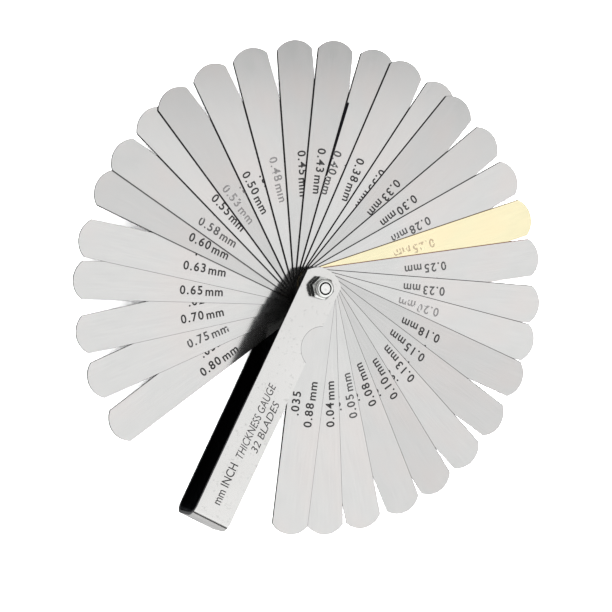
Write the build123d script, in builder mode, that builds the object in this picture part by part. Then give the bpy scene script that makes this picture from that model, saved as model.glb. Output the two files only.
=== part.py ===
"""Feeler gauge: 32 thickness blades on one pivot screw in a folded steel case.

The gauge lies flat with its nut up. +Z is the pivot axis and the origin is on that axis, at the
outer face of the screw head. The case points along -Y. Lengths are in millimetres.
"""

from build123d import *
import math
import os

# Blade stack from the nut side to the screw head: name, thickness, and how far the blade is swung
# out of the case, in degrees anticlockwise as seen from the nut side.
BLADES = [
    ("0_88mm", 0.88, 19.5),
    ("0_04mm", 0.04, 29.0),
    ("0_05mm", 0.05, 39.0),
    ("0_06mm", 0.06, 39.0),
    ("0_08mm", 0.08, 50.0),
    ("0_10mm", 0.10, 60.0),
    ("0_13mm", 0.13, 70.5),
    ("0_15mm", 0.15, 81.5),
    ("0_18mm", 0.18, 93.0),
    ("0_20mm", 0.20, 102.5),
    ("0_23mm", 0.23, 112.0),
    ("0_25mm", 0.25, 123.5),
    ("0_25mm_brass", 0.25, 133.5),
    ("0_28mm", 0.28, 144.0),
    ("0_30mm", 0.30, 154.5),
    ("0_33mm", 0.33, 165.5),
    ("0_35mm", 0.35, 171.5),
    ("0_38mm", 0.38, 182.0),
    ("0_40mm", 0.40, 190.0),
    ("0_43mm", 0.43, 201.0),
    ("0_45mm", 0.45, 211.5),
    ("0_48mm", 0.48, 223.0),
    ("0_50mm", 0.50, 234.0),
    ("0_53mm", 0.53, 245.0),
    ("0_55mm", 0.55, 252.5),
    ("0_58mm", 0.58, 263.0),
    ("0_60mm", 0.60, 272.0),
    ("0_63mm", 0.63, 284.5),
    ("0_65mm", 0.65, 294.5),
    ("0_70mm", 0.70, 307.5),
    ("0_75mm", 0.75, 319.0),
    ("0_80mm", 0.80, 331.5),
]

# Blades: 3 1/2 by 1/2 inch strips with shallow arched ends.
BLADE_LENGTH = 88.9
BLADE_WIDTH = 12.7
BLADE_ARCH = 3.2        # height of the arched end above its two shoulders
BLADE_ROOT = 6.4        # from the pivot axis to the root end
BLADE_GAP = 0.05        # slack between neighbours, which are never quite flat
PIVOT_HOLE_R = 2.06

# Case: one steel strip folded into a U round the blade tips.
CASE_WIDTH = 13.4
CASE_SHEET = 1.0
CASE_ROOT = 6.6         # from the pivot axis to the plates' free ends
CASE_REACH = 86.7       # from the pivot axis to the outside of the fold
CASE_ARCH = 3.2
FOLD_R = 4.0            # outside radius of the fold's two bends
CASE_HOLE_R = 2.1
NOTCH_R = 7.2           # thumb notch in one long edge of both plates
NOTCH_DEPTH = 4.4
NOTCH_REACH = 17.7      # from the pivot axis to the middle of the notch

# Pivot screw, M4 with a slotted pan head.
SHANK_R = 2.0
HEAD_R = 4.0
HEAD_HEIGHT = 2.4
HEAD_ROUND = 1.2
SLOT_WIDTH = 1.2
SLOT_DEPTH = 1.1
THREAD_PITCH = 0.7
THREAD_DEPTH = 0.35
SCREW_PROUD = 0.1       # screw end above the nut
SCREW_END_BEVEL = 0.35

# M4 hexagon lock nut: a hexagon below, and above it a round collar that holds a nylon ring.
NUT_FLATS = 7.0
NUT_HEIGHT = 4.7
NUT_HEX_HEIGHT = 3.1
NUT_TURN = 10.0         # turn of the hexagon from corners along X
NUT_FACE_R = 3.3        # radius of the hexagon's flat faces inside its chamfer
NUT_CHAMFER = 30.0      # angle of that chamfer, in degrees
COLLAR_R = 3.2
COLLAR_ROUND = 0.7
COLLAR_MOUTH_R = 2.2
NUT_BORE_R = 1.95       # a little inside the thread's crest, as the engaged thread is
INSERT_R = 2.7
INSERT_BORE_R = 1.9     # the nylon grips the thread
INSERT_BOTTOM = 2.8     # the nylon ring's faces, above the nut's lower face
INSERT_TOP = 4.25

# Levels above the screw head's outer face.
stack_height = sum(thickness for _, thickness, _ in BLADES) + (len(BLADES) + 1) * BLADE_GAP
BACK_OUT = HEAD_HEIGHT
BACK_IN = BACK_OUT + CASE_SHEET
FRONT_IN = BACK_IN + stack_height
FRONT_OUT = FRONT_IN + CASE_SHEET
NUT_TOP = FRONT_OUT + NUT_HEIGHT
SCREW_TOP = NUT_TOP + SCREW_PROUD


def strip_plane(level, swing):
    """The plane of a strip at a level, with +X along the strip, swung out of the case."""
    return Plane.XY.offset(level).rotated((0, 0, swing - 90))


def strip_outline(root, tip, width, arch):
    """A strip along +X with both ends arched, round a pivot at the origin."""
    half = width / 2
    with BuildLine() as outline:
        Line((-root + arch, half), (tip - arch, half))
        ThreePointArc((tip - arch, half), (tip, 0), (tip - arch, -half))
        Line((tip - arch, -half), (-root + arch, -half))
        ThreePointArc((-root + arch, -half), (-root, 0), (-root + arch, half))
    return outline.line


# Case: a U profile in the YZ plane, trimmed to the plates' outline, then pierced and notched.
with BuildPart() as case:
    with BuildSketch(Plane.YZ):
        with BuildLine():
            FilletPolyline(
                (CASE_ROOT, BACK_OUT),
                (-CASE_REACH, BACK_OUT),
                (-CASE_REACH, FRONT_OUT),
                (CASE_ROOT, FRONT_OUT),
                radius=FOLD_R,
            )
            Line((CASE_ROOT, FRONT_OUT), (CASE_ROOT, FRONT_IN))
            FilletPolyline(
                (CASE_ROOT, FRONT_IN),
                (-CASE_REACH + CASE_SHEET, FRONT_IN),
                (-CASE_REACH + CASE_SHEET, BACK_IN),
                (CASE_ROOT, BACK_IN),
                radius=FOLD_R - CASE_SHEET,
            )
            Line((CASE_ROOT, BACK_IN), (CASE_ROOT, BACK_OUT))
        make_face()
    extrude(amount=CASE_WIDTH / 2, both=True)
    # The plates' free ends are arched; the outline's other arch lies past the fold.
    with BuildSketch(strip_plane(BACK_OUT, 0)):
        with BuildLine():
            add(strip_outline(CASE_ROOT, CASE_REACH + CASE_ARCH, CASE_WIDTH, CASE_ARCH))
        make_face()
    extrude(amount=FRONT_OUT - BACK_OUT, mode=Mode.INTERSECT)
    with BuildSketch(strip_plane(BACK_OUT, 0)):
        Circle(CASE_HOLE_R)
        with Locations((NOTCH_REACH, CASE_WIDTH / 2 + NOTCH_R - NOTCH_DEPTH)):
            Circle(NOTCH_R)
    extrude(amount=FRONT_OUT - BACK_OUT, mode=Mode.SUBTRACT)
case.part.label = "case"

# Pivot screw: slotted pan head, plain shank through the blades, ringed thread in the nut.
with BuildPart() as pivot_screw:
    with BuildSketch(Plane.XZ):
        with BuildLine():
            Line((0, 0), (HEAD_R - HEAD_ROUND, 0))
            RadiusArc((HEAD_R - HEAD_ROUND, 0), (HEAD_R, HEAD_ROUND), -HEAD_ROUND)
            Polyline(
                (HEAD_R, HEAD_ROUND),
                (HEAD_R, HEAD_HEIGHT),
                (SHANK_R, HEAD_HEIGHT),
                (SHANK_R, SCREW_TOP - SCREW_END_BEVEL),
                (SHANK_R - SCREW_END_BEVEL, SCREW_TOP),
                (0, SCREW_TOP),
                (0, 0),
            )
        make_face()
    revolve(axis=Axis.Z)
    thread_start = SCREW_TOP - SCREW_END_BEVEL - THREAD_PITCH / 2
    thread_turns = int((thread_start - FRONT_OUT) / THREAD_PITCH)
    for turn in range(thread_turns):
        groove_level = thread_start - turn * THREAD_PITCH
        with BuildSketch(Plane.XZ):
            with BuildLine():
                Polyline(
                    (SHANK_R, groove_level - THREAD_DEPTH / 2),
                    (SHANK_R - THREAD_DEPTH, groove_level),
                    (SHANK_R, groove_level + THREAD_DEPTH / 2),
                    close=True,
                )
            make_face()
        revolve(axis=Axis.Z, mode=Mode.SUBTRACT)
    with BuildSketch(Plane.XY):
        Rectangle(SLOT_WIDTH, 2 * HEAD_R)
    extrude(amount=SLOT_DEPTH, mode=Mode.SUBTRACT)
pivot_screw.part.label = "pivot_screw"

# Lock nut: the hexagon is turned down to a chamfer at both faces, then the collar is added.
corner_r = NUT_FLATS / 2 / math.cos(math.pi / 6)
chamfer_drop = (corner_r - NUT_FACE_R) * math.tan(math.radians(NUT_CHAMFER))
hex_top = FRONT_OUT + NUT_HEX_HEIGHT
with BuildPart() as lock_nut:
    with BuildSketch(Plane.XY.offset(FRONT_OUT)):
        RegularPolygon(NUT_FLATS / 2, 6, major_radius=False, rotation=NUT_TURN)
    extrude(amount=NUT_HEX_HEIGHT)
    with BuildSketch(Plane.XZ):
        with BuildLine():
            Polyline(
                (0, FRONT_OUT),
                (NUT_FACE_R, FRONT_OUT),
                (corner_r, FRONT_OUT + chamfer_drop),
                (corner_r, hex_top - chamfer_drop),
                (NUT_FACE_R, hex_top),
                (0, hex_top),
                close=True,
            )
        make_face()
    revolve(axis=Axis.Z, mode=Mode.INTERSECT)
    with BuildSketch(Plane.XZ):
        with BuildLine():
            Polyline((0, hex_top), (COLLAR_R, hex_top), (COLLAR_R, NUT_TOP - COLLAR_ROUND))
            RadiusArc(
                (COLLAR_R, NUT_TOP - COLLAR_ROUND),
                (COLLAR_R - COLLAR_ROUND, NUT_TOP),
                -COLLAR_ROUND,
            )
            Polyline((COLLAR_R - COLLAR_ROUND, NUT_TOP), (0, NUT_TOP), (0, hex_top))
        make_face()
    revolve(axis=Axis.Z)
    for bore_r, bore_bottom, bore_top in (
        (NUT_BORE_R, 0, INSERT_BOTTOM),
        (INSERT_R, INSERT_BOTTOM, INSERT_TOP),
        (COLLAR_MOUTH_R, INSERT_TOP, NUT_HEIGHT),
    ):
        with BuildSketch(Plane.XY.offset(FRONT_OUT + bore_bottom)):
            Circle(bore_r)
        extrude(amount=bore_top - bore_bottom, mode=Mode.SUBTRACT)
lock_nut.part.label = "lock_nut"

# Nylon ring that fills the collar and grips the thread.
with BuildPart() as nut_insert:
    with BuildSketch(Plane.XY.offset(FRONT_OUT + INSERT_BOTTOM)):
        Circle(INSERT_R)
        Circle(INSERT_BORE_R, mode=Mode.SUBTRACT)
    extrude(amount=INSERT_TOP - INSERT_BOTTOM)
nut_insert.part.label = "nut_insert"

os.makedirs("parts", exist_ok=True)
for piece in (case, pivot_screw, lock_nut, nut_insert):
    export_step(piece.part, f"parts/{piece.part.label}.step")

# Blades, from the nut side down, each at its own level and swing.
blade_top = FRONT_IN - BLADE_GAP
for blade_name, thickness, swing in BLADES:
    with BuildPart() as blade:
        with BuildSketch(strip_plane(blade_top - thickness, swing)):
            with BuildLine():
                add(strip_outline(BLADE_ROOT, BLADE_LENGTH - BLADE_ROOT, BLADE_WIDTH, BLADE_ARCH))
            make_face()
            Circle(PIVOT_HOLE_R, mode=Mode.SUBTRACT)
        extrude(amount=thickness)
    blade.part.label = f"blade_{blade_name}"
    export_step(blade.part, f"parts/{blade.part.label}.step")
    blade_top -= thickness + BLADE_GAP
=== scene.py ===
import math
import random

import bmesh
import bpy
from mathutils import Matrix, Quaternion, Vector


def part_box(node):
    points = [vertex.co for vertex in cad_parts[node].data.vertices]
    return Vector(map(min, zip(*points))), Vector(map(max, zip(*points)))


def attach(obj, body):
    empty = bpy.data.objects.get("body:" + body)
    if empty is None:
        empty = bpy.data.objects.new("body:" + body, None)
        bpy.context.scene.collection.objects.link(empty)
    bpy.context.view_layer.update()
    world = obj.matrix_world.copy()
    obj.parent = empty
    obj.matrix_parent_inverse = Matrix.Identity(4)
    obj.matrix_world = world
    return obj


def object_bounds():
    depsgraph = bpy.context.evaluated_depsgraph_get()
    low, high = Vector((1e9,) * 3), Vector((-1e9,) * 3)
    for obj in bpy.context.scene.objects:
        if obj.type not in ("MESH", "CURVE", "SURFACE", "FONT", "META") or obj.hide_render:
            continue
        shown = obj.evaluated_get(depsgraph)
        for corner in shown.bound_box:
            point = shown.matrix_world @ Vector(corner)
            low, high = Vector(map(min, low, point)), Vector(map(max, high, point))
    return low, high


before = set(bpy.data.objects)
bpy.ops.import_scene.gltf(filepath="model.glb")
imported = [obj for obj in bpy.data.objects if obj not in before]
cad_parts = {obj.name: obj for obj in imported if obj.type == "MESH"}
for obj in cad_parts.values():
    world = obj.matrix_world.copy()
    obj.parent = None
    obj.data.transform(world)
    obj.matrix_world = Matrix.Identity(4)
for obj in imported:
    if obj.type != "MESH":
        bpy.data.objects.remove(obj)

# A fanned-out feeler gauge: 32 blades on one pivot, a folded sheet-metal case, a screw and a lock nut.
# The pivot axis is +Z, the origin is the outer face of the screw's head, and the case points along -Y.

MM = 0.001
cad_low, cad_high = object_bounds()

# Camera: where it stands as seen from the gauge, its roll about its own axis, and where the axis lands
VIEW_AZIMUTH = 199.9
VIEW_ELEVATION = 67.54
VIEW_ROLL = 96.55
VIEW_DISTANCE = 1351.4 * MM
AIM_X = -1.06 * MM
AIM_Y = -7.26 * MM
AIM_Z = 16.35 * MM
LENS = 239.55

# Light: how bright the room is to a matt surface, and how bright it is in a gloss against the height of
# the mirrored direction. The paper floor is toned down in a gloss to match
MATT_ROOM = 6.0
PAPER_IN_GLOSS = 0.13
GLOSS_ROOM = (
    (-0.9, 0.78), (-0.35, 0.78), (0.08, 0.78), (0.12, 0.03), (0.34, 0.03), (0.42, 0.60), (0.8, 0.45),
)
FLOOR_HALF = 4.0
FLOOR_DROP = 0.05 * MM

# A ceiling panel that the gauge's flat faces mirror towards the camera, and a black card beside it. Both are
# measured from the mirrored spot, along the panel's length and aside from it
PANEL_TURN = 297
PANEL_HEIGHT = 1.5
PANEL_ALONG = (-0.17, 3.2)
PANEL_ASIDE = (-1.3, 1.6)
PANEL_RADIANCE = 0.70
CARD_HEIGHT = 1.45
CARD_ALONG = (-0.8, 0.8)
CARD_ASIDE = (-1.6, -0.5)

# Blades: their size, and the dark rim of painted shade along their outline. The left rim widens with the
# strip's thickness, but strips over a certain thickness have the same narrow rim all round
BLADE_WIDTH = 12.7 * MM
BLADE_ARCH = 3.2 * MM
BLADE_TIP = 82.5 * MM
BLADE_BEVEL = 0.16 * MM
RIM_LEAST = 0.09 * MM
LEFT_RIM_BASE = 0.8 * RIM_LEAST
LEFT_RIM_MOST = 0.30 * MM
LEFT_RIM_PER_THICKNESS = 0.8
EVEN_RIMMED = 0.62 * MM

# Strips painted a little darker than the rest, and darker still: painted shade for their slightly different
# tilts
SHADED_STRIPS = ("0_08mm", "0_13mm", "0_30mm", "0_43mm", "0_45mm", "0_58mm")
DEEPER_SHADED_STRIPS = ("0_10mm", "0_15mm", "0_18mm", "0_33mm", "0_53mm", "0_60mm")
STRIP_SHADE = 0.94
DEEPER_STRIP_SHADE = 0.89

# The one strip whose left rim of painted shade widens into a painted shadow wedge towards its tip
SHADOW_WEDGE_STRIP = "blade_0_40mm"
SHADOW_WEDGE_START = 30 * MM
SHADOW_WEDGE_END = 62.5 * MM
SHADOW_WEDGE_SLOPE = 0.022

# Metals: the colour of a strip's face, of its rim of painted shade, and of its sheared side, painted dark
STEEL = (0.605, 0.602, 0.596)
STEEL_SHADE_RIM = (0.008, 0.008, 0.010)
STEEL_SHADED_SIDE = (0.10, 0.10, 0.10)
BRASS = (0.84, 0.77, 0.52)
BRASS_SHADE_RIM = (0.09, 0.05, 0.015)
BRASS_SHADED_SIDE = (0.40, 0.29, 0.12)
# The steel strip beside the brass one: its rim of painted shade is tinted brown
BROWN_RIMMED_STRIP = "blade_0_25mm"
BROWN_SHADE_RIM = (0.18, 0.045, 0.015)
# Near black, painted as shade in the screw's thread and the nut's mouth
SHADE_BLACK = (0.008, 0.008, 0.010, 1)
THINNEST_BEVELLED = 0.25 * MM
BEVEL_PER_THICKNESS = 0.3

# Case, screw and nut
CASE_SHEET = 1.0 * MM
NOTCH_X = 9.5 * MM
NOTCH_Y = -17.7 * MM
NOTCH_RADIUS = 7.2 * MM
# Width of the painted shade round the thumb notch
NOTCH_RIM = 0.14 * MM
THREAD_RADIUS = 2.05 * MM
DIMPLE_RADIUS = 0.7 * MM
COLLAR_RADIUS = 3.25 * MM
MOUTH_RADIUS = 2.3 * MM

# Etched marks, in millimetres: half their height, the letters' size and added weight, and where the number,
# its unit and the inch size stand from the middle of the metric line. Along is the reading direction, and
# aside is towards the letters' tops
MARK_SINK = 0.005
LABEL_SIZE = 4.07
LABEL_WEIGHT = 0.09
NUMBER_ALONG = -3.8
UNIT_ALONG = 4.3
UNIT_ASIDE = -0.35
INCH_ALONG = -0.3
INCH_ASIDE = 5.1

# Inch size, distance of the metric line from the pivot axis and from the blade's middle line in
# millimetres, its tilt in degrees, and which of the four inks it has, from black to a brown trace
LABELS = {
    "0_88mm": (".035", 38.6, 2.05, 0, 0), "0_04mm": (".0015", 38.8, 3.1, 0, 0),
    "0_05mm": (".002", 37.65, 3.8, 0, 1), "0_06mm": (".0025", 38.0, 3.0, 0, 0),
    "0_08mm": (".003", 36.7, 3.2, 0, 0), "0_10mm": (".004", 39.0, 3.4, 0, 0),
    "0_13mm": (".005", 39.0, 3.5, 0, 0), "0_15mm": (".006", 38.0, 2.6, 0, 0),
    "0_18mm": (".007", 40.3, 1.65, 0, 0), "0_20mm": (".008", 37.5, 2.35, 0, 2),
    "0_23mm": (".009", 39.0, 2.1, 0, 1), "0_25mm": (".010", 40.1, 1.4, 0, 1),
    "0_25mm_brass": (".010", 37.75, 1.8, 0, 3), "0_28mm": (".011", 39.4, 0.9, 0, 1),
    "0_30mm": (".012", 39.3, 1.35, 0, 0), "0_33mm": (".013", 38.6, 0.6, 0, 0),
    "0_35mm": (".014", 38.2, 2.05, 0, 0), "0_38mm": (".015", 38.1, 2.0, 4.5, 0),
    "0_40mm": (".016", 38.1, 4.7, 0, 1), "0_43mm": (".017", 38.45, 1.55, 0, 0),
    "0_45mm": (".018", 37.8, 0.35, 0, 0), "0_48mm": (".019", 37.65, 1.6, 0, 2),
    "0_50mm": (".020", 37.0, 3.3, 2.5, 0), "0_53mm": (".021", 37.5, 3.1, 2.5, 2),
    "0_55mm": (".022", 38.0, 2.4, 0, 0), "0_58mm": (".023", 37.2, 2.7, 3, 1),
    "0_60mm": (".024", 37.75, 2.2, 0, 0), "0_63mm": (".025", 37.0, 1.5, 3, 0),
    "0_65mm": (".026", 37.3, 2.4, 0, 0), "0_70mm": (".028", 37.85, 2.1, 0, 0),
    "0_75mm": (".030", 38.0, 1.6, 0, 1), "0_80mm": (".032", 38.6, 2.6, 0, 0),
}

# Lines on the front plate: words, distance from the pivot axis, from the middle line, length and letter
# size in millimetres, then slant and added weight
CASE_LINES = (
    ("mm INCH", 72.3, -0.9, 14.5, 4.4, 0.0, 0.03),
    ("THICKNESS GAUGE", 49.6, -0.5, 27.0, 4.0, 0.2, 0.0),
    ("32 BLADES", 49.9, 3.4, 18.3, 3.8, 0.2, 0.0),
)


def direction(azimuth, elevation):
    """The unit vector that points that way, azimuth counted from +X towards +Y."""
    flat = math.cos(math.radians(elevation))
    around = math.radians(azimuth)
    return Vector((math.cos(around) * flat, math.sin(around) * flat, math.sin(math.radians(elevation))))


class Paint:
    """A node material under construction."""

    def __init__(self, name):
        self.material = bpy.data.materials.new(name)
        self.material.use_nodes = True
        self.tree = self.material.node_tree
        self.shader = self.tree.nodes["Principled BSDF"]

    def set(self, **values):
        """Sets constants on the shader's own sockets."""
        for name, value in values.items():
            self.shader.inputs[name.replace("_", " ")].default_value = value

    def join(self, source, target):
        self.tree.links.new(source, target)

    def add(self, kind, inputs=(), **settings):
        """A new node. Inputs are pairs of a socket and either a value or the socket that feeds it."""
        node = self.tree.nodes.new(kind)
        for name, value in settings.items():
            setattr(node, name, value)
        for socket, value in inputs:
            if isinstance(value, bpy.types.NodeSocket):
                self.join(value, node.inputs[socket])
            else:
                node.inputs[socket].default_value = value
        return node

    def position(self, turn=0.0, stretch=(1, 1, 1)):
        """Object coordinates turned about the pivot, so that X runs along the grain, and stretched."""
        place = self.add("ShaderNodeTexCoord").outputs["Object"]
        turned = self.add("ShaderNodeMapping", [("Vector", place), ("Rotation", (0, 0, turn))])
        scaled = self.add("ShaderNodeMapping", [("Vector", turned.outputs[0]), ("Scale", stretch)])
        return scaled.outputs[0]

    def noise(self, vector, scale, detail=2.0, rough=0.5):
        """Noise from 0 to 1, with the scale in features per metre."""
        made = self.add(
            "ShaderNodeTexNoise",
            [("Vector", vector), ("Scale", scale), ("Detail", detail), ("Roughness", rough)],
        )
        return made.outputs["Fac"]

    def ramp(self, factor, stops):
        """Colours against a factor. A stop is a position and a colour or a grey."""
        node = self.add("ShaderNodeValToRGB", [("Fac", factor)])
        band = node.color_ramp
        while len(band.elements) < len(stops):
            band.elements.new(0.5)
        for element, (place, tone) in zip(band.elements, stops):
            element.position = place
            element.color = (tone, tone, tone, 1) if isinstance(tone, (int, float)) else (*tone, 1)
        return node.outputs["Color"]

    def span(self, factor, low, high):
        """The factor's 0 to 1 carried to low to high."""
        node = self.add("ShaderNodeMapRange", [("Value", factor), ("To Min", low), ("To Max", high)])
        return node.outputs["Result"]

    def math(self, operation, a, b):
        return self.add("ShaderNodeMath", [(0, a), (1, b)], operation=operation).outputs[0]

    def mix(self, factor, a, b):
        """Colour a where the factor is 0 and colour b where it is 1."""
        node = self.add("ShaderNodeMix", data_type="RGBA")
        for socket, value in ((node.inputs[0], factor), (node.inputs[6], a), (node.inputs[7], b)):
            if isinstance(value, bpy.types.NodeSocket):
                self.join(value, socket)
            else:
                socket.default_value = value
        return node.outputs[2]

    def times(self, a, b):
        """The product of two colours."""
        node = self.add("ShaderNodeMix", data_type="RGBA", blend_type="MULTIPLY")
        node.inputs[0].default_value = 1.0
        self.join(a, node.inputs[6])
        self.join(b, node.inputs[7])
        return node.outputs[2]

    def near(self, distance, edge, rim):
        """Rises from 0 to 1 towards the edge, and stays at 1 on most of the rim."""
        node = self.add("ShaderNodeMapRange", [
            ("Value", distance), ("From Min", edge - rim), ("From Max", edge - 0.7 * rim),
        ])
        return node.outputs["Result"]

    def radius(self):
        """The distance from the pivot axis."""
        parts = self.add("ShaderNodeSeparateXYZ", [("Vector", self.position())])
        across = self.math("POWER", parts.outputs["X"], 2)
        along = self.math("POWER", parts.outputs["Y"], 2)
        return self.math("SQRT", self.math("ADD", across, along), 0)

    def side_faces(self, limit):
        """1 where the normal's vertical part is under the limit, as on upright faces, and 0 elsewhere."""
        source = self.add("ShaderNodeTexCoord")
        parts = self.add("ShaderNodeSeparateXYZ", [("Vector", source.outputs["Normal"])])
        return self.math("LESS_THAN", self.math("ABSOLUTE", parts.outputs["Z"], 0), limit)

    def bump(self, height, strength, distance):
        inputs = [("Height", height), ("Strength", strength), ("Distance", distance)]
        node = self.add("ShaderNodeBump", inputs)
        self.join(node.outputs["Normal"], self.shader.inputs["Normal"])

    def colour(self, socket):
        self.join(socket, self.shader.inputs["Base Color"])

    def roughness(self, socket):
        self.join(socket, self.shader.inputs["Roughness"])


def tinted(colour, factor):
    return tuple(channel * factor for channel in colour)


def strip_metal(name, colours, turn, seed, left_width, wedge_slope):
    """Ground spring strip: fine lines along the blade, faint clouds of tint, a rim of painted shade along
    its outline, and sheared sides painted dark, partly their own dull metal and partly painted shade.
    """
    colour, rim, side = colours
    paint = Paint(name)
    grain = paint.noise(paint.position(turn, (1, 45, 1)), 90 + seed, 3.0, 0.7)
    clouds = paint.noise(paint.position(turn, (1, 1.6, 1)), 34 + seed * 0.7, 3.0, 0.55)
    smudges = paint.noise(paint.position(turn, (1, 1, 1)), 85 + seed, 4.0, 0.6)
    face = paint.ramp(clouds, [
        (0.25, (colour[0] * 0.945, colour[1] * 0.96, colour[2] * 0.955)),
        (0.5, colour),
        (0.75, (colour[0] * 1.03, colour[1] * 0.995, colour[2] * 0.985)),
    ])
    lines = paint.ramp(grain, [(0.3, 0.94), (0.7, 1.0)])
    # Painted shade: a near-black rim laid along the blade's outline
    shade_rimmed = paint.mix(shade_rim_mask(paint, turn, left_width, wedge_slope), paint.times(face, lines), (*rim, 1))
    # Sheared side faces painted dark: partly the sheared metal's own dullness, partly painted shade
    paint.colour(paint.mix(paint.side_faces(0.35), shade_rimmed, (*side, 1)))
    paint.roughness(paint.math("ADD", paint.span(smudges, 0.10, 0.17), paint.span(grain, -0.02, 0.02)))
    paint.bump(grain, 0.10, 0.003 * MM)
    paint.set(Metallic=1.0)
    return paint.material


def shade_rim_mask(paint, turn, left_width, wedge_slope):
    """Where painted shade darkens a blade: 0 on its face, rising to 1 on a narrow rim along its outline. The
    left rim has its own width, and between the painted shadow wedge's start and its end it widens by the
    wedge's slope."""
    parts = paint.add("ShaderNodeSeparateXYZ", [("Vector", paint.position(turn))])
    along = parts.outputs["X"]
    aside = parts.outputs["Y"]
    arch_radius = (BLADE_WIDTH ** 2 / 4 + BLADE_ARCH ** 2) / (2 * BLADE_ARCH)
    past_centre = paint.math("SUBTRACT", along, BLADE_TIP - arch_radius)
    squares = paint.math("ADD", paint.math("POWER", past_centre, 2), paint.math("POWER", aside, 2))
    out = paint.math("SQRT", squares, 0)
    arched = paint.math("GREATER_THAN", past_centre, 0)
    tip = paint.math("MULTIPLY", paint.near(out, arch_radius, RIM_LEAST), arched)
    past_start = paint.math("MAXIMUM", paint.math("SUBTRACT", along, SHADOW_WEDGE_START), 0)
    widening = paint.math("MULTIPLY", past_start, wedge_slope)
    shadow_wedge = paint.math("MULTIPLY", widening, paint.math("LESS_THAN", along, SHADOW_WEDGE_END))
    left = paint.near(paint.math("ADD", aside, shadow_wedge), BLADE_WIDTH / 2, left_width)
    right = paint.near(paint.math("MULTIPLY", aside, -1), BLADE_WIDTH / 2, RIM_LEAST)
    return paint.math("MAXIMUM", tip, paint.math("MAXIMUM", left, right))


def case_steel():
    """Nickel-plated sheet: bright outside, with faint lines and fine pores. Between the plates and on the
    long sheared edges it is painted near black, as shade."""
    paint = Paint("case_steel")
    grain = paint.noise(paint.position(math.radians(90), (1, 30, 1)), 120, 3.0, 0.7)
    pores = paint.noise(paint.position(), 900, 2.0, 0.6)
    clouds = paint.noise(paint.position(), 40, 3.0, 0.5)
    tone = paint.ramp(clouds, [(0.3, (0.60, 0.595, 0.585)), (0.7, (0.635, 0.63, 0.62))])
    speck = paint.ramp(pores, [(0.28, 0.88), (0.4, 1.0)])
    plated = paint.times(tone, speck)
    # Painted shade: the near-black colour laid inside the case and on its long edges
    black = paint.ramp(clouds, [(0.3, (0.010, 0.011, 0.013)), (0.7, (0.035, 0.037, 0.042))])
    paint.colour(paint.mix(case_shade_mask(paint), plated, black))
    paint.roughness(paint.math("ADD", paint.span(grain, 0.10, 0.15), paint.span(clouds, -0.01, 0.03)))
    paint.bump(grain, 0.10, 0.006 * MM)
    paint.set(Metallic=1.0)
    return paint.material


def case_shade_mask(paint):
    """Where the case is painted near black as shade: 1 between its plates and on its sheared side edges, 0
    outside, some on the notch's rim.
    """
    low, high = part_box("case")
    source = paint.add("ShaderNodeTexCoord")
    place = paint.add("ShaderNodeSeparateXYZ", [("Vector", source.outputs["Object"])])
    facing = paint.add("ShaderNodeSeparateXYZ", [("Vector", source.outputs["Normal"])])
    above = paint.math("GREATER_THAN", place.outputs["Z"], low.z + CASE_SHEET * 0.95)
    below = paint.math("LESS_THAN", place.outputs["Z"], high.z - CASE_SHEET * 0.95)
    inward = paint.math("GREATER_THAN", facing.outputs["Y"], -0.2)
    between = paint.math("MULTIPLY", paint.math("MULTIPLY", above, below), inward)
    left = paint.math("LESS_THAN", facing.outputs["X"], -0.3)
    right = paint.math("GREATER_THAN", facing.outputs["X"], 0.8)
    edges = paint.math("MAXIMUM", left, right)
    return paint.math("MAXIMUM", edges, paint.math("MAXIMUM", between, notch_shade_rim(paint)))


def notch_shade_rim(paint):
    """Painted shade: about a half on a narrow rim round the thumb notch, and 0 elsewhere."""
    parts = paint.add("ShaderNodeSeparateXYZ", [("Vector", paint.position())])
    across = paint.math("POWER", paint.math("SUBTRACT", parts.outputs["X"], NOTCH_X), 2)
    along = paint.math("POWER", paint.math("SUBTRACT", parts.outputs["Y"], NOTCH_Y), 2)
    out = paint.math("SQRT", paint.math("ADD", across, along), 0)
    return paint.math("MULTIPLY", paint.math("LESS_THAN", out, NOTCH_RADIUS + NOTCH_RIM), 0.55)


def zinc(name, colour, polish):
    """Zinc plate on turned steel: small spangles. Gives the paint, its colour and the spangles' height."""
    paint = Paint(name)
    spangle = paint.noise(paint.position(), 700, 3.0, 0.6)
    clouds = paint.noise(paint.position(), 220, 2.0, 0.5)
    plated = paint.ramp(clouds, [(0.3, tinted(colour, 0.9)), (0.7, colour)])
    paint.roughness(paint.span(spangle, polish, polish + 0.12))
    paint.set(Metallic=1.0)
    return paint, plated, spangle


def screw_zinc():
    """Bright zinc with its thread painted black as shade, and a small dimple in each end's middle."""
    paint, plated, spangle = zinc("screw_steel", (0.74, 0.74, 0.73), 0.14)
    radius = paint.radius()
    # The thread's upright faces painted black as shade
    shaded_thread = paint.math("MULTIPLY", paint.side_faces(0.9), paint.math("LESS_THAN", radius, THREAD_RADIUS))
    paint.colour(paint.mix(shaded_thread, plated, SHADE_BLACK))
    dimple = paint.add("ShaderNodeMapRange", [
        ("Value", radius), ("From Min", 0.0), ("From Max", DIMPLE_RADIUS), ("To Max", 12.0),
    ])
    paint.bump(paint.math("ADD", spangle, dimple.outputs["Result"]), 0.3, 0.01 * MM)
    return paint.material


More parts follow.
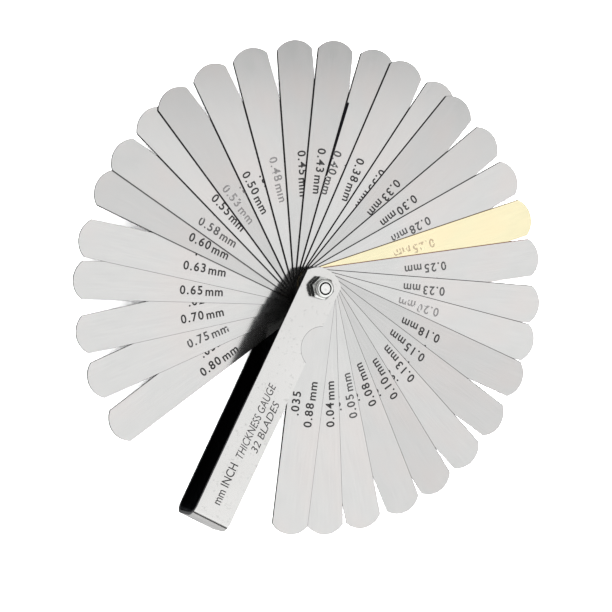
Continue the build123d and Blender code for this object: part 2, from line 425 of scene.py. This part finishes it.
def nut_zinc():
    """Bright zinc above, painted dark as shade on the hexagon's flanks, in streaks, and painted black as
    shade in the mouth.
    """
    paint, plated, spangle = zinc("nut_steel", (0.78, 0.79, 0.77), 0.10)
    radius = paint.radius()
    upright = paint.side_faces(0.5)
    hexagon = paint.math("MULTIPLY", upright, paint.math("GREATER_THAN", radius, COLLAR_RADIUS))
    mouth = paint.math("MULTIPLY", upright, paint.math("LESS_THAN", radius, MOUTH_RADIUS))
    streaks = paint.noise(paint.position(0, (1, 1, 0.08)), 1100, 2.0, 0.5)
    # Painted shade on the hexagon's upright flanks, broken into streaks
    painted_flank_shade = paint.ramp(streaks, [
        (0.35, (0.010, 0.014, 0.013)),
        (0.55, (0.05, 0.065, 0.06)),
        (0.7, (0.30, 0.34, 0.32)),
    ])
    with_flank_shade = paint.mix(hexagon, plated, painted_flank_shade)
    # The nut's mouth painted black as shade
    paint.colour(paint.mix(mouth, with_flank_shade, SHADE_BLACK))
    paint.bump(spangle, 0.12, 0.01 * MM)
    return paint.material


def nylon():
    """Black nylon: dull, with a moulded grain."""
    paint = Paint("nut_nylon")
    grain = paint.noise(paint.position(), 2500, 2.0, 0.5)
    paint.colour(paint.ramp(grain, [(0.3, 0.004), (0.7, 0.008)]))
    paint.roughness(paint.span(grain, 0.45, 0.6))
    paint.bump(grain, 0.2, 0.01 * MM)
    return paint.material


def etched(name, ink, rub, metal=STEEL):
    """Acid etch: matt and a little uneven. It is rubbed down to the metal where a noise exceeds the rub."""
    paint = Paint(name)
    grain = paint.noise(paint.position(), 3500, 3.0, 0.6)
    rubbed = paint.noise(paint.position(), 700, 2.0, 0.5)
    worn = paint.math("GREATER_THAN", rubbed, rub)
    dark = paint.ramp(grain, [(0.3, tinted(ink, 0.6)), (0.75, tinted(ink, 1.5))])
    paint.colour(paint.mix(worn, dark, (*metal, 1)))
    paint.join(worn, paint.shader.inputs["Metallic"])
    paint.roughness(paint.span(worn, 0.6, 0.2))
    paint.bump(grain, 0.2, 0.004 * MM)
    return paint.material


def floor_paint():
    """White seamless paper with a very fine tooth."""
    paint = Paint("paper")
    tooth = paint.noise(paint.position(), 900, 3.0, 0.6)
    white = paint.ramp(tooth, [(0.3, 0.90), (0.7, 0.93)])
    path = paint.add("ShaderNodeLightPath")
    grey = (PAPER_IN_GLOSS, PAPER_IN_GLOSS, PAPER_IN_GLOSS, 1)
    paint.colour(paint.mix(path.outputs["Is Glossy Ray"], white, grey))
    paint.roughness(paint.span(tooth, 0.85, 0.95))
    paint.set(Specular_IOR_Level=0.1)
    return paint.material


def blade_angle(name):
    """The direction a blade points in at rest, counted from +X."""
    low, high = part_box(name)
    centre = (low + high) / 2
    return math.atan2(centre.y, centre.x)


def dress(name, material):
    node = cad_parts[name]
    node.data.materials.clear()
    node.data.materials.append(material)
    return node


def soften(node, width, segments=2, angle=35):
    """Breaks a CAD node's sharp edges by a small bevel."""
    bevel = node.modifiers.new("edge_break", "BEVEL")
    bevel.width = width
    bevel.segments = segments
    bevel.limit_method = "ANGLE"
    bevel.angle_limit = math.radians(angle)
    bevel.harden_normals = True
    bevel.use_clamp_overlap = True


def letters(text, size, weight, spacing=1.0, slant=0.0):
    """A mesh of raised letters centred on the origin, in millimetres. The weight thickens the strokes."""
    curve = bpy.data.curves.new("letters", "FONT")
    curve.body = text
    curve.size = size
    curve.align_x = "CENTER"
    curve.align_y = "CENTER"
    curve.space_character = spacing
    curve.shear = slant
    curve.resolution_u = 4
    curve.extrude = MARK_SINK
    curve.offset = weight
    source = bpy.data.objects.new("letters", curve)
    mesh = bpy.data.meshes.new_from_object(source)
    bpy.data.objects.remove(source)
    bpy.data.curves.remove(curve)
    return mesh


def placed(mesh, place, aside, along, stretch=1.0):
    """The mesh stretched along its lines, shifted along and aside, then moved by the matrix place."""
    mesh.transform(place @ Matrix.Translation((along, aside, 0)) @ Matrix.Diagonal((stretch, 1, 1, 1)))
    return mesh


def reading_frame(angle, level, reach, side, tilt=0.0):
    """Millimetres on a face at that level, with text reading towards the pivot from a strip's tip."""
    strip = Matrix.Translation((0, 0, level)) @ Matrix.Rotation(angle, 4, "Z") @ Matrix.Scale(MM, 4)
    turned = Matrix.Rotation(math.pi + math.radians(tilt), 4, "Z")
    return strip @ Matrix.Translation((reach, side, 0)) @ turned


def merged(name, meshes, material):
    """One object from several meshes."""
    joined = bmesh.new()
    for mesh in meshes:
        joined.from_mesh(mesh)
        bpy.data.meshes.remove(mesh)
    result = bpy.data.meshes.new(name)
    joined.to_mesh(result)
    joined.free()
    result.materials.append(material)
    piece = bpy.data.objects.new(name, result)
    bpy.context.scene.collection.objects.link(piece)
    return piece


def label_blade(name, inks):
    """The thickness in millimetres and in inches, etched on the nut side."""
    size = name.removeprefix("blade_")
    inch, reach, side, tilt, ink = LABELS[size]
    place = reading_frame(blade_angle(name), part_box(name)[1].z, reach, side, tilt)
    number = size.removesuffix("_brass").removesuffix("mm").replace("_", ".")
    lines = [
        placed(letters(number, LABEL_SIZE, LABEL_WEIGHT, 1.2), place, 0, NUMBER_ALONG),
        placed(letters("mm", LABEL_SIZE, LABEL_WEIGHT, 1.1), place, UNIT_ASIDE, UNIT_ALONG),
        placed(letters(inch, LABEL_SIZE, LABEL_WEIGHT, 1.2), place, INCH_ASIDE, INCH_ALONG),
    ]
    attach(merged("mark_" + size, lines, inks[ink]), name)


def make_camera():
    back = direction(VIEW_AZIMUTH, VIEW_ELEVATION)
    camera = bpy.data.objects.new("camera", bpy.data.cameras.new("camera"))
    camera.data.lens = LENS
    camera.data.sensor_width = 36
    camera.data.clip_start = 0.05
    camera.data.clip_end = 50
    camera.location = Vector((AIM_X, AIM_Y, AIM_Z)) + back * VIEW_DISTANCE
    camera.rotation_mode = "QUATERNION"
    upright = (-back).to_track_quat("-Z", "Y")
    camera.rotation_quaternion = upright @ Quaternion((0, 0, 1), math.radians(VIEW_ROLL))
    bpy.context.scene.collection.objects.link(camera)
    bpy.context.scene.camera = camera


def make_floor():
    mesh = bpy.data.meshes.new("floor")
    under = cad_low.z - FLOOR_DROP
    signs = ((-1, -1), (1, -1), (1, 1), (-1, 1))
    corners = [(across * FLOOR_HALF, along * FLOOR_HALF, under) for across, along in signs]
    mesh.from_pydata(corners, [], [(0, 1, 2, 3)])
    mesh.materials.append(floor_paint())
    floor = bpy.data.objects.new("floor", mesh)
    bpy.context.scene.collection.objects.link(floor)


def make_world():
    """An even white room for matt surfaces. In a gloss, the low walls are dark, and the rest is paler."""
    world = bpy.data.worlds.new("studio")
    bpy.context.scene.world = world
    world.use_nodes = True
    tree = world.node_tree
    tree.nodes.clear()
    path = tree.nodes.new("ShaderNodeLightPath")
    way = tree.nodes.new("ShaderNodeTexCoord")
    height = tree.nodes.new("ShaderNodeSeparateXYZ")
    tree.links.new(way.outputs["Generated"], height.inputs[0])
    scale = tree.nodes.new("ShaderNodeMapRange")
    scale.inputs["From Min"].default_value = -1
    tree.links.new(height.outputs["Z"], scale.inputs["Value"])
    ramp = tree.nodes.new("ShaderNodeValToRGB")
    band = ramp.color_ramp
    while len(band.elements) < len(GLOSS_ROOM):
        band.elements.new(0.5)
    for element, (level, grey) in zip(band.elements, GLOSS_ROOM):
        element.position = (level + 1) / 2
        element.color = (grey, grey, grey, 1)
    tree.links.new(scale.outputs["Result"], ramp.inputs["Fac"])
    gloss = tree.nodes.new("ShaderNodeBackground")
    tree.links.new(ramp.outputs["Color"], gloss.inputs["Color"])
    matt = tree.nodes.new("ShaderNodeBackground")
    matt.inputs["Color"].default_value = (1, 1, 1, 1)
    matt.inputs["Strength"].default_value = MATT_ROOM
    mix = tree.nodes.new("ShaderNodeMixShader")
    tree.links.new(path.outputs["Is Glossy Ray"], mix.inputs[0])
    tree.links.new(matt.outputs[0], mix.inputs[1])
    tree.links.new(gloss.outputs[0], mix.inputs[2])
    output = tree.nodes.new("ShaderNodeOutputWorld")
    tree.links.new(mix.outputs[0], output.inputs["Surface"])


def overhead(along, aside, height):
    """A point at that height, measured from the spot that the flat faces mirror towards the camera."""
    mirrored = direction(VIEW_AZIMUTH - 180, VIEW_ELEVATION)
    spot = mirrored * (height / mirrored.z)
    return spot + direction(PANEL_TURN, 0) * along + direction(PANEL_TURN + 90, 0) * aside


def make_panel():
    """A ceiling panel over the side that the flat faces mirror. One rim passes near the mirrored spot."""
    lamp = bpy.data.lights.new("panel", "AREA")
    lamp.shape = "RECTANGLE"
    lamp.size = PANEL_ALONG[1] - PANEL_ALONG[0]
    lamp.size_y = PANEL_ASIDE[1] - PANEL_ASIDE[0]
    lamp.energy = PANEL_RADIANCE * math.pi * lamp.size * lamp.size_y
    holder = bpy.data.objects.new("panel", lamp)
    holder.location = overhead(sum(PANEL_ALONG) / 2, sum(PANEL_ASIDE) / 2, PANEL_HEIGHT)
    holder.rotation_euler = (0, 0, math.radians(PANEL_TURN))
    bpy.context.scene.collection.objects.link(holder)


def make_card():
    """A black card beside the panel, seen only in a gloss, for the upright faces that look to the camera."""
    paint = Paint("felt")
    paint.colour(paint.ramp(paint.noise(paint.position(), 300), [(0.3, 0.004), (0.7, 0.008)]))
    paint.set(Roughness=1.0, Specular_IOR_Level=0.0)
    corners = [
        overhead(along, aside, CARD_HEIGHT)
        for along, aside in (
            (CARD_ALONG[0], CARD_ASIDE[0]), (CARD_ALONG[1], CARD_ASIDE[0]),
            (CARD_ALONG[1], CARD_ASIDE[1]), (CARD_ALONG[0], CARD_ASIDE[1]),
        )
    ]
    mesh = bpy.data.meshes.new("card")
    mesh.from_pydata(corners, [], [(0, 1, 2, 3)])
    mesh.materials.append(paint.material)
    card = bpy.data.objects.new("card", mesh)
    bpy.context.scene.collection.objects.link(card)
    card.visible_camera = False
    card.visible_diffuse = False
    card.visible_shadow = False


def dress_gauge():
    """Every CAD node's material and every mark. Each blade's grain has a seed of its own."""
    random.seed(32)
    soften(dress("case", case_steel()), 0.18 * MM)
    soften(dress("lock_nut", nut_zinc()), 0.10 * MM)
    soften(dress("pivot_screw", screw_zinc()), 0.08 * MM)
    dress("nut_insert", nylon())
    marks = [
        etched("etched_mark", (0.003, 0.003, 0.003), 0.9),
        etched("etched_worn", (0.014, 0.014, 0.014), 0.65),
        etched("etched_faint", (0.044, 0.042, 0.042), 0.62),
        etched("etched_brass", (0.10, 0.075, 0.04), 0.56, BRASS),
    ]
    for name in sorted(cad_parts):
        if name.startswith("blade_"):
            dress_blade(name, random.uniform(0, 25))
            label_blade(name, marks)
    label_case(marks[0])


def left_rim(thickness):
    """The width of a strip's left rim of painted shade. On the thickest strips it is that of the right rim.
    """
    if thickness > EVEN_RIMMED:
        return RIM_LEAST
    return min(LEFT_RIM_BASE + LEFT_RIM_PER_THICKNESS * thickness, LEFT_RIM_MOST)


def shade(size):
    """How bright a strip's ground face is painted against the brightest: painted shade on some strips."""
    if size in DEEPER_SHADED_STRIPS:
        return DEEPER_STRIP_SHADE
    return STRIP_SHADE if size in SHADED_STRIPS else 1.0


def dress_blade(name, seed):
    low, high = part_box(name)
    thickness = high.z - low.z
    metal, rim, side = (STEEL, STEEL_SHADE_RIM, STEEL_SHADED_SIDE)
    if name.endswith("_brass"):
        metal, rim, side = (BRASS, BRASS_SHADE_RIM, BRASS_SHADED_SIDE)
    # A brown tint in this strip's rim of painted shade
    if name == BROWN_RIMMED_STRIP:
        rim = BROWN_SHADE_RIM
    # A painted shadow wedge, widening along one strip's left rim
    wedge_slope = SHADOW_WEDGE_SLOPE if name == SHADOW_WEDGE_STRIP else 0.0
    size = name.removeprefix("blade_")
    colours = (tinted(metal, shade(size)), rim, side)
    made = strip_metal("strip_" + size, colours, -blade_angle(name), seed, left_rim(thickness), wedge_slope)
    node = dress(name, made)
    if thickness > THINNEST_BEVELLED:
        soften(node, min(BLADE_BEVEL, BEVEL_PER_THICKNESS * thickness))


def label_case(ink):
    """The kind of tool, its units and its number of blades, on the front plate."""
    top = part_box("case")[1].z
    for number, (words, reach, side, length, size, slant, weight) in enumerate(CASE_LINES):
        mesh = letters(words, size, weight, 1.0, slant)
        across = [vertex.co.x for vertex in mesh.vertices]
        place = reading_frame(math.radians(-90), top, reach, side)
        line = placed(mesh, place, 0, 0, length / (max(across) - min(across)))
        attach(merged(f"mark_case_{number}", [line], ink), "case")


make_camera()
make_floor()
make_world()
make_panel()
make_card()
dress_gauge()
bpy.context.scene.view_settings.view_transform = "Standard"
